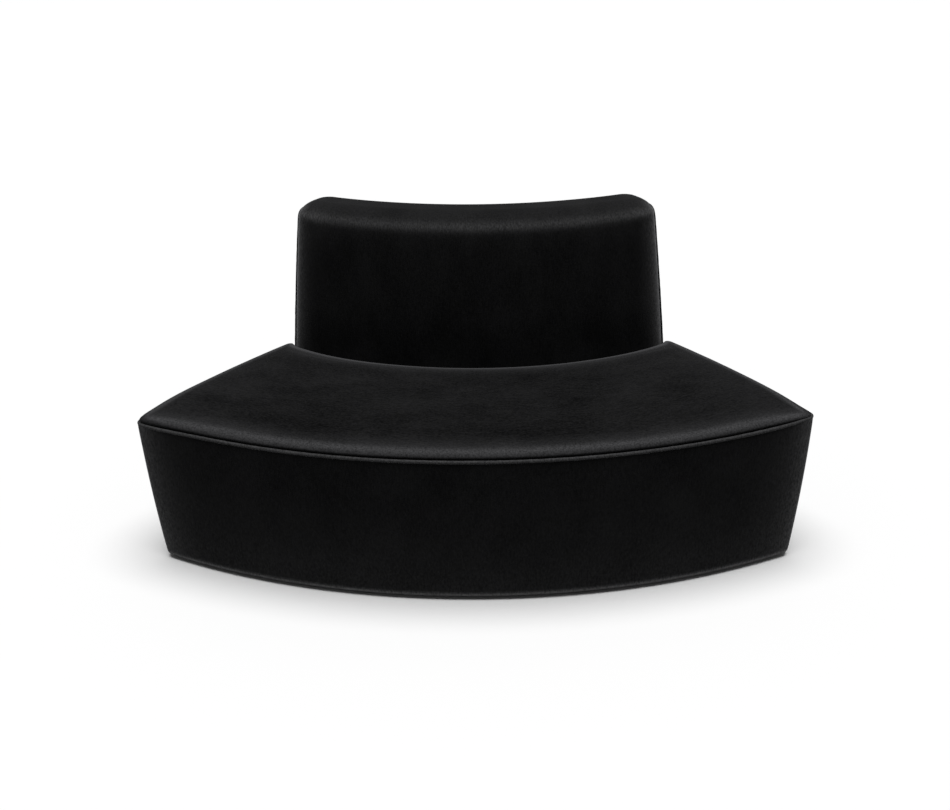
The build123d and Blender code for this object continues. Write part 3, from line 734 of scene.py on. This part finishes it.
band_rows = [hem_row(1.8, HEM + COVER), hem_row(0, HEM + COVER), hem_row(0, 14), hem_row(0, 5),
             hem_row(0.4, 2.2), hem_row(1.8, 0.6)]
band_rows += [band_row(share, -BULGE * sin(pi * share) ** BULGE_POWER)
              for share in np.linspace(0, 1, 33)[:-1]]
band_rows += [band_row(1, 0.0, 4.0), band_row(1, 0.3, 1.4), band_row(1, 1.2), band_row(1, turn_in),
              band_row(1, turn_in, 1.6), band_row(1, COVER + 0.2, 5.0),
              band_row(0.5, COVER + 0.2), band_row(0, COVER + 0.4)]
points, faces = lofted(band_rows, closed=True)
away = tip_distance(points, front_r(RIM_HEIGHT))
low_down = np.clip(1 - (points[:, 2] - RIM_HEIGHT) / RIM_LIFT_RUN, 0, 1)
points[:, 2] += RIM_LIFT * low_down * hump(away, 0, RIM_LIFT_WIDTH)
points[:, 2] -= sagged(points) * np.clip(1 - (SEAM_HEIGHT - points[:, 2]) / SAG_RUN, 0, 1)
base = mesh_piece("base_cover", points, faces, upright_velvet)
subdivided(base)
points = ring_points(base)
height = points[:, 2]
outer = np.maximum(end_depth(points) - end_draw(height), 0)
behind = np.maximum(front_r(height) - reach(points), 0)
# Painted pale rim line and painted floor bounce light near the rim
rim = bands(height, RIM_BANDS) + RIM_GLOW * np.exp((RIM_HEIGHT - height) / RIM_GLOW_RUN)
# Painted sheen near the front corners of the band
corners = np.exp(-outer / CORNER_GLOW_RUN) * hump(behind, 0, CORNER_GLOW_WIDTH)
mark_painted_highlight(base, rim + CORNER_GLOW * corners)

# Back cushion: raked faces, rounded ends, rolled top
back_spans = (96, np.linspace(0, 1, 9), 10)
BACK_THICK = 140.0
RAISE = 3.5                # of the top as a whole
CREST_DROP = 6.0           # of the top towards its ends
SHOULDER = 10.0            # rise of the top at the very ends
WIDEN = 8.0                # of the top at each end
FLARE = 0.9                # share of the height over which the shape of the foot fades out
EXTRA_LEAN = 0.8           # degrees, of the end seams beyond the lean of the ends
SEAM_IN = BACK_END_ROLL * (1 - cos(radians(45)))
SLACK_RISE, SLACK_START, SLACK_RUN = 110, 15, 70
# Painted highlight along the front of the top roll, and faint painted light over the top
CREST_BANDS = ((0.17, 36, 13), (0.016, 14, 16))
CREST_GLOW, CREST_GLOW_RUN = 0.02, 150
# Painted highlights: the top-roll highlight grows towards the ends, and painted sheen lies along
# the rounded ends
SIDE_GAIN = ((0.9, 20, 70),)
SIDE_GLOW, SIDE_GLOW_START, SIDE_GLOW_RUN, SIDE_GLOW_WIDTH = 1.1, 10, 18, 30
REAR_SHARE = 0.6           # of the glow of the front edges


def back_ring(z, drawn):
    """Level outline of the back, drawn in from its walls."""
    wall = min(z, TOTAL_HEIGHT - BACK_ROLL)
    face = back_face_r(wall) - drawn
    rear = back_rear_r(wall) + drawn
    corner = min(BACK_END_ROLL, 0.4 * (face - rear))
    return level(outline(face, rear, back_end_draw(wall) + drawn, corner, corner, back_spans), z)


back_rows = [back_ring(z, 0.0) for z in np.linspace(DECK_TOP + 0.5, TOTAL_HEIGHT - BACK_ROLL, 42)]
for turn in np.radians(np.linspace(0, 90, 11)[1:]):
    back_rows.append(back_ring(TOTAL_HEIGHT - BACK_ROLL + BACK_ROLL * sin(turn),
                               BACK_ROLL * (1 - cos(turn))))
points, faces = cushion(back_rows, back_spans)
lift = np.clip((points[:, 2] - SEAT_HEIGHT) / (TOTAL_HEIGHT - SEAT_HEIGHT), 0, 1)
foot = np.clip(1 - lift / FLARE, 0, 1)
angle = np.degrees(np.arctan2(points[:, 0], -points[:, 1])) / HALF_ANGLE
near = reach(points)
ahead = np.clip((near - back_rear_r(points[:, 2])) / BACK_THICK, 0, 1) ** 2
points[:, :2] *= 1 + (bowed(points) * ahead * foot / near)[:, None]
side_share = np.abs(angle)
points[:, 2] += lift**1.5 * (RAISE - CREST_DROP * side_share**3 + SHOULDER * side_share**12)
wide = (WIDEN * lift + FOOT_OUT * foot) * side_share**4
outward = ACROSS * np.column_stack([-np.sign(points[:, 0]), np.ones(len(points))])
points[:, :2] += wide[:, None] * outward
back = mesh_piece("back_cushion", points, faces, upright_velvet)
lean = radians(BACK_END_LEAN + EXTRA_LEAN)
seam_normal = np.array([ACROSS[0] * cos(lean), ACROSS[1] * cos(lean), sin(lean)])
foot_inset = BACK_END_INSET - 0.85 * FOOT_OUT
seam_foot = np.array([0, 0, SEAT_HEIGHT]) - np.append(ACROSS, 0) * foot_inset
seam_foot = seam_foot - seam_normal * SEAM_IN
inner = -np.maximum((points - seam_foot) @ seam_normal,
                    (points * (-1, 1, 1) - seam_foot) @ seam_normal)
held = points[:, 2] < DECK_TOP + 8
slack = np.clip((points[:, 2] - SEAT_HEIGHT) / SLACK_RISE, 0, 1)
stuffed(back, held, slack * np.clip((inner - SLACK_START) / SLACK_RUN, 0, 1))
subdivided(back)
points = ring_points(back)
height, radius = points[:, 2], reach(points)
crest = height.max() - height
inner = end_depth(points) - foot_inset - (height - SEAT_HEIGHT) * tan(lean)
# Painted highlight along the top roll, and faint painted light over the top
rolled = bands(crest, CREST_BANDS) + CREST_GLOW * np.exp(-crest / CREST_GLOW_RUN)
# Painted top-roll highlight, stronger towards the ends
rolled *= 1 + bands(inner, SIDE_GAIN)
lift = (height - SEAT_HEIGHT) / (TOTAL_HEIGHT - SEAT_HEIGHT)
face = back_face_r(height) + bowed(points) * np.clip(1 - lift / FLARE, 0, 1)
ahead = np.maximum(face - radius, 0)
behind = np.maximum(radius - back_rear_r(height), 0)
# Painted sheen along the rounded ends, front and rear
sides = SIDE_GLOW * np.exp(-np.maximum(inner - SIDE_GLOW_START, 0) / SIDE_GLOW_RUN)
sides *= np.maximum(hump(ahead, 0, SIDE_GLOW_WIDTH), REAR_SHARE * hump(behind, 0, SIDE_GLOW_WIDTH))
mark_painted_highlight(back, np.maximum(rolled, sides))


CORD_STEP = 5.0
CORD_SIDES = 12
BACK_WELT_OUT, BACK_WELT_TIP = 0.9, 0.7  # out of the cushion, and out along the seam's normal
# The last value is an even painted highlight over the back welts.
BACK_WELT_RIPPLE, BACK_WELT_SEED, BACK_WELT_HIGHLIGHT = 0.14, 3, 0.02
SEAM_EASING = 6


def seam_path(piece, side):
    """Line where the plane of an end seam cuts a piece, from the front foot over to the rear."""
    work = bmesh.new()
    work.from_mesh(piece.data)
    normal = Vector((side * seam_normal[0], seam_normal[1], seam_normal[2]))
    foot = Vector(placed(seam_foot * (side, 1, 1)))
    geometry = work.verts[:] + work.edges[:] + work.faces[:]
    cut = bmesh.ops.bisect_plane(work, geom=geometry, plane_co=foot, plane_no=normal)["geom_cut"]
    found = np.array([v.co for v in cut if isinstance(v, bmesh.types.BMVert)]) * MM
    work.free()
    found = found[found[:, 2] > DECK_TOP + 4]
    distance = np.hypot(found[:, 0], found[:, 1] - RING_Y)
    middle = (distance.min() + distance.max()) / 2
    turn = np.arctan2(found[:, 2] - DECK_TOP, (distance - middle) * 3)
    found = found[np.argsort(turn)]
    return resampled(found - np.array([0, RING_Y, 0]), CORD_STEP)


def relaxed(path, times):
    for _ in range(times):
        path[1:-1] = (path[:-2] + 2 * path[1:-1] + path[2:]) / 4
    return path


back_welts = {}
for name, side in (("left", 1), ("right", -1)):
    path = relaxed(seam_path(back, side), SEAM_EASING)
    plane_normal = seam_normal * (side, 1, 1)
    out = np.cross(np.gradient(path, axis=0), plane_normal)
    out /= np.linalg.norm(out, axis=1, keepdims=True)
    out *= np.sign(((path - path.mean(0)) * out).sum(1, keepdims=True))
    path = path + out * BACK_WELT_OUT + plane_normal * BACK_WELT_TIP
    points, faces = tube(path, BACK_WELT, CORD_SIDES, BACK_WELT_RIPPLE, BACK_WELT_SEED)
    back_welts[name] = mesh_piece(f"back_welt_{name}", points, faces, welt_velvet)
    # Even painted highlight over the welt cord
    mark_painted_highlight(back_welts[name], np.full(len(points), BACK_WELT_HIGHLIGHT))

# Piping along the seat seam, round the front and back to the foot of the back
PROUD = 0.3
SEAT_WELT = 4.4
# The last value is an even painted highlight over the seat welt.
SEAT_WELT_RIPPLE, SEAT_WELT_SEED, SEAT_WELT_HIGHLIGHT = 0.16, 5, 0.24
along_front, end_count, corner_count = 400, 120, 12
welt_spans = (along_front, np.linspace(0, 1, end_count + 1), corner_count)
loop = outline(FRONT_RADIUS + PROUD, BACK_FACE_RADIUS - FOLLOW + 6, -PROUD, CORNER_ROUND + PROUD,
               TUCK_ROLL, welt_spans)
ahead = loop[: corner_count // 2 + along_front + corner_count + end_count + corner_count]
behind = loop[-(corner_count // 2 + end_count + corner_count):]
path = resampled(level(np.concatenate([behind, ahead]), SEAM_HEIGHT), CORD_STEP)
away = tip_distance(path, FRONT_RADIUS)
path[:, :2] *= 1 - (CORNER_TUCK / FRONT_RADIUS * hump(away, 0, TUCK_WIDTH))[:, None]
path[:, 2] -= sagged(path)
points, faces = tube(path, SEAT_WELT, CORD_SIDES, SEAT_WELT_RIPPLE, SEAT_WELT_SEED)
seat_welt = mesh_piece("seat_welt_cord", points, faces, welt_velvet)
# Even painted highlight over the welt cord
mark_painted_highlight(seat_welt, np.full(len(points), SEAT_WELT_HIGHLIGHT))

# Dust cloth below: stapled flat, sagging a little, cut round the feet, pivots and inserts
CLOTH_IN = HEM + COVER + 0.4
CLOTH_THICK = 0.9
CLOTH_CORNER = 3
CLOTH_HOLE, HOLE_SIDES, HOLE_DEPTH = 14.0, 32, 40.0
SAG, SLACK_EDGE = 2.0, 120
PUCKER, PUCKER_COUNT, PUCKER_RUN = 0.5, 150, 40
EDGE_DROP, EDGE_RUN = 0.5, 12
cloth_spans = (96, np.linspace(0, 1, 33), 4)
cloth_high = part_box("dust_cover")[1].z * MM


def cloth_outline(inset):
    return outline(front_r(RIM_HEIGHT) - inset, rear_r(RIM_HEIGHT) + inset,
                   end_draw(RIM_HEIGHT) + inset, CLOTH_CORNER, CLOTH_CORNER, cloth_spans)


cut = cloth_outline(CLOTH_IN)
points, faces = cushion([level(cut, cloth_high - CLOTH_THICK), level(cut, cloth_high)], cloth_spans)
radius = reach(points)
margin = np.stack([front_r(RIM_HEIGHT) - radius, radius - rear_r(RIM_HEIGHT),
                   end_depth(points) - end_draw(RIM_HEIGHT)]).min(0) - CLOTH_IN
angle = np.arctan2(points[:, 0], -points[:, 1])
inward = 1 - np.exp(-margin / EDGE_RUN)
points[:, 2] -= (SAG * (1 - np.exp(-margin / SLACK_EDGE)) ** 2
                 + PUCKER * np.sin(angle * PUCKER_COUNT) * np.exp(-margin / PUCKER_RUN) * inward
                 + EDGE_DROP * inward)
cloth = mesh_piece("dust_cloth_sheet", points, faces, dust_cloth)


def clusters(name):
    """Middles of the two parts of a node that stands at both ends of a side."""
    found = np.array([v.co[:] for v in nodes_of[name].data.vertices])
    far = found[:, 1] > (found[:, 1].min() + found[:, 1].max()) / 2
    return [(found[part].min(0) + found[part].max(0)) / 2 for part in (far, ~far)]


holes = clusters("ganging_pivots") + clusters("ganging_inserts")
holes += [np.array(sum(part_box(name), Vector())) / 2 for name in nodes_of if is_foot(name)]
cutter_mesh = bpy.data.meshes.new("cutter")
work = bmesh.new()
for hole in holes:
    place = Matrix.Translation((hole[0], hole[1], cloth_high / MM))
    bmesh.ops.create_cone(work, cap_ends=True, segments=HOLE_SIDES, radius1=CLOTH_HOLE / MM,
                          radius2=CLOTH_HOLE / MM, depth=HOLE_DEPTH / MM, matrix=place)
work.to_mesh(cutter_mesh)
work.free()
cutter = bpy.data.objects.new("cutter", cutter_mesh)
bpy.context.scene.collection.objects.link(cutter)
trim = cloth.modifiers.new("holes", "BOOLEAN")
trim.object, trim.operation, trim.solver = cutter, "DIFFERENCE", "EXACT"
graph = bpy.context.evaluated_depsgraph_get()
trimmed = bpy.data.meshes.new_from_object(cloth.evaluated_get(graph))
cloth.modifiers.clear()
cloth.data = trimmed
trimmed.name = "dust_cloth_sheet"
bpy.data.objects.remove(cutter)

# Staples along the edge of the dust cloth
STAPLE_SPACING = 55.0
STAPLE_IN = 7              # from the edge of the cloth
STAPLE_DROP = 0.9          # below the cloth
STAPLE_HALF, STAPLE_LEG = 5, 2.4
STAPLE_WIRE, STAPLE_SIDES, STAPLE_STEP = 0.5, 6, 1.2
STAPLE_TURNS = (0.25, 0.5)  # radians, turn about
legs = np.array([0, 0, STAPLE_LEG])
staple_line = level(cloth_outline(CLOTH_IN + STAPLE_IN), cloth_high - CLOTH_THICK - STAPLE_DROP)
staple_points, staple_faces = [], []
for index, middle in enumerate(resampled(staple_line, STAPLE_SPACING)):
    turn = atan2(middle[1], middle[0]) + pi / 2 + STAPLE_TURNS[index % 2]
    half_crown = np.array([cos(turn), sin(turn), 0]) * STAPLE_HALF
    start, end = middle - half_crown, middle + half_crown
    path = resampled([start + legs, start, end, end + legs], STAPLE_STEP)
    bar, bar_faces = tube(path, STAPLE_WIRE, STAPLE_SIDES)
    first = sum(len(part) for part in staple_points)
    staple_points.append(bar)
    staple_faces += [[first + int(i) for i in face] for face in bar_faces]
staples = mesh_piece("dust_cloth_staples", np.concatenate(staple_points), staple_faces, zinc_steel)

# What each piece rides on, with the slot listed for it
for piece, slot in ((seat, "velvet"), (base, "velvet"), (back, "velvet"),
                    (seat_welt, "welt_velvet"), (back_welts["left"], "welt_velvet"),
                    (back_welts["right"], "welt_velvet"), (cloth, "dust_cloth"),
                    (staples, "zinc_steel")):
    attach(piece, "module")
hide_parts("seat_cover", "seat_foam")
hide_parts("front_apron_cover", "rear_cover", "left_end_cover", "right_end_cover",
            "front_padding", "rear_padding", "left_end_padding", "right_end_padding")
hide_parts("back_cover", "back_left_end_cover", "back_right_end_cover", "back_foam",
            "back_rear_padding")
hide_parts("seat_welt")
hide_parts("back_left_welt")
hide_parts("back_right_welt")
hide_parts("dust_cover")

# Stage: a pale floor that bounces little light, under a broad sun and a white surround
FLOOR_SIZE = 80            # metres
FLOOR_SEEN, FLOOR_BOUNCE = 0.93, 0.3
AMBIENT, BACKDROP = 0.12, 1.0
SUN_STRENGTH, SUN_SPREAD, SUN_DIRECTION = 3.05, radians(50), (-0.03, 0.1, -1)
WHITE = (1, 1, 1, 1)


def either(tree, share, off, on, output):
    """Mix two shaders by a share, into an output node."""
    mix = add(tree, "ShaderNodeMixShader")
    tree.links.new(share, mix.inputs["Fac"])
    tree.links.new(off.outputs[0], mix.inputs[1])
    tree.links.new(on.outputs[0], mix.inputs[2])
    tree.links.new(mix.outputs[0], tree.nodes[output].inputs["Surface"])


bpy.ops.mesh.primitive_plane_add(size=FLOOR_SIZE)
floor = bpy.context.object
floor.name = "floor"
floor_material, tree, shader = new_material("floor")
shader.inputs["Base Color"].default_value = (FLOOR_SEEN, FLOOR_SEEN, FLOOR_SEEN, 1)
shader.inputs["Roughness"].default_value = 1.0
shader.inputs["Specular IOR Level"].default_value = 0.0
dim = add(tree, "ShaderNodeBsdfDiffuse")
dim.inputs["Color"].default_value = (FLOOR_BOUNCE, FLOOR_BOUNCE, FLOOR_BOUNCE, 1)
rays = add(tree, "ShaderNodeLightPath").outputs
seen = math_node(tree, "MAXIMUM", rays["Is Camera Ray"], rays["Is Glossy Ray"])
seen = math_node(tree, "MAXIMUM", seen, rays["Is Transmission Ray"])
either(tree, seen, dim, shader, "Material Output")
floor.data.materials.append(floor_material)

world = bpy.data.worlds.new("studio")
bpy.context.scene.world = world
world.use_nodes = True
tree = world.node_tree
ambient = tree.nodes["Background"]
white = add(tree, "ShaderNodeBackground")
for surround, strength in ((ambient, AMBIENT), (white, BACKDROP)):
    surround.inputs["Color"].default_value = WHITE
    surround.inputs["Strength"].default_value = strength
rays = add(tree, "ShaderNodeLightPath").outputs
either(tree, rays["Is Camera Ray"], ambient, white, "World Output")

lamp = bpy.data.lights.new("overhead", "SUN")
lamp.energy = SUN_STRENGTH
lamp.angle = SUN_SPREAD
holder = bpy.data.objects.new("overhead", lamp)
holder.rotation_euler = Vector(SUN_DIRECTION).to_track_quat("-Z", "Y").to_euler()
bpy.context.scene.collection.objects.link(holder)

# Camera, from a fit of the seam, rim and back lines to the photograph
SCALE = 1.02               # size of the part against the size in the fit
YAW, ELEVATION, ROLL = radians(-2.1), radians(23.03), radians(-1.12)
DISTANCE = 5797.0 * SCALE
AIM = np.array([-35.0, 0.0, -126.0]) * SCALE
SENSOR = 36.0
PICTURE_WIDTH, FOCAL_PIXELS, SHIFT_PIXELS = 950, 1700, -3
forward = np.array([sin(YAW) * cos(ELEVATION), cos(YAW) * cos(ELEVATION), -sin(ELEVATION)])
right_axis = np.array([cos(YAW), -sin(YAW), 0.0])
up_axis = np.cross(right_axis, forward)
turned_right = cos(ROLL) * right_axis + sin(ROLL) * up_axis
turned_up = -sin(ROLL) * right_axis + cos(ROLL) * up_axis
eye = placed(AIM - DISTANCE * forward)
lens = bpy.data.cameras.new("camera")
lens.sensor_fit = "HORIZONTAL"
lens.sensor_width = SENSOR
lens.lens = FOCAL_PIXELS * SENSOR / PICTURE_WIDTH
lens.shift_x = SHIFT_PIXELS / PICTURE_WIDTH
camera = bpy.data.objects.new("camera", lens)
columns = np.column_stack([turned_right, turned_up, -forward])
camera.matrix_world = Matrix.Translation(eye) @ Matrix(columns.tolist()).to_4x4()
bpy.context.scene.collection.objects.link(camera)
bpy.context.scene.camera = camera
bpy.context.scene.view_settings.view_transform = "Standard"
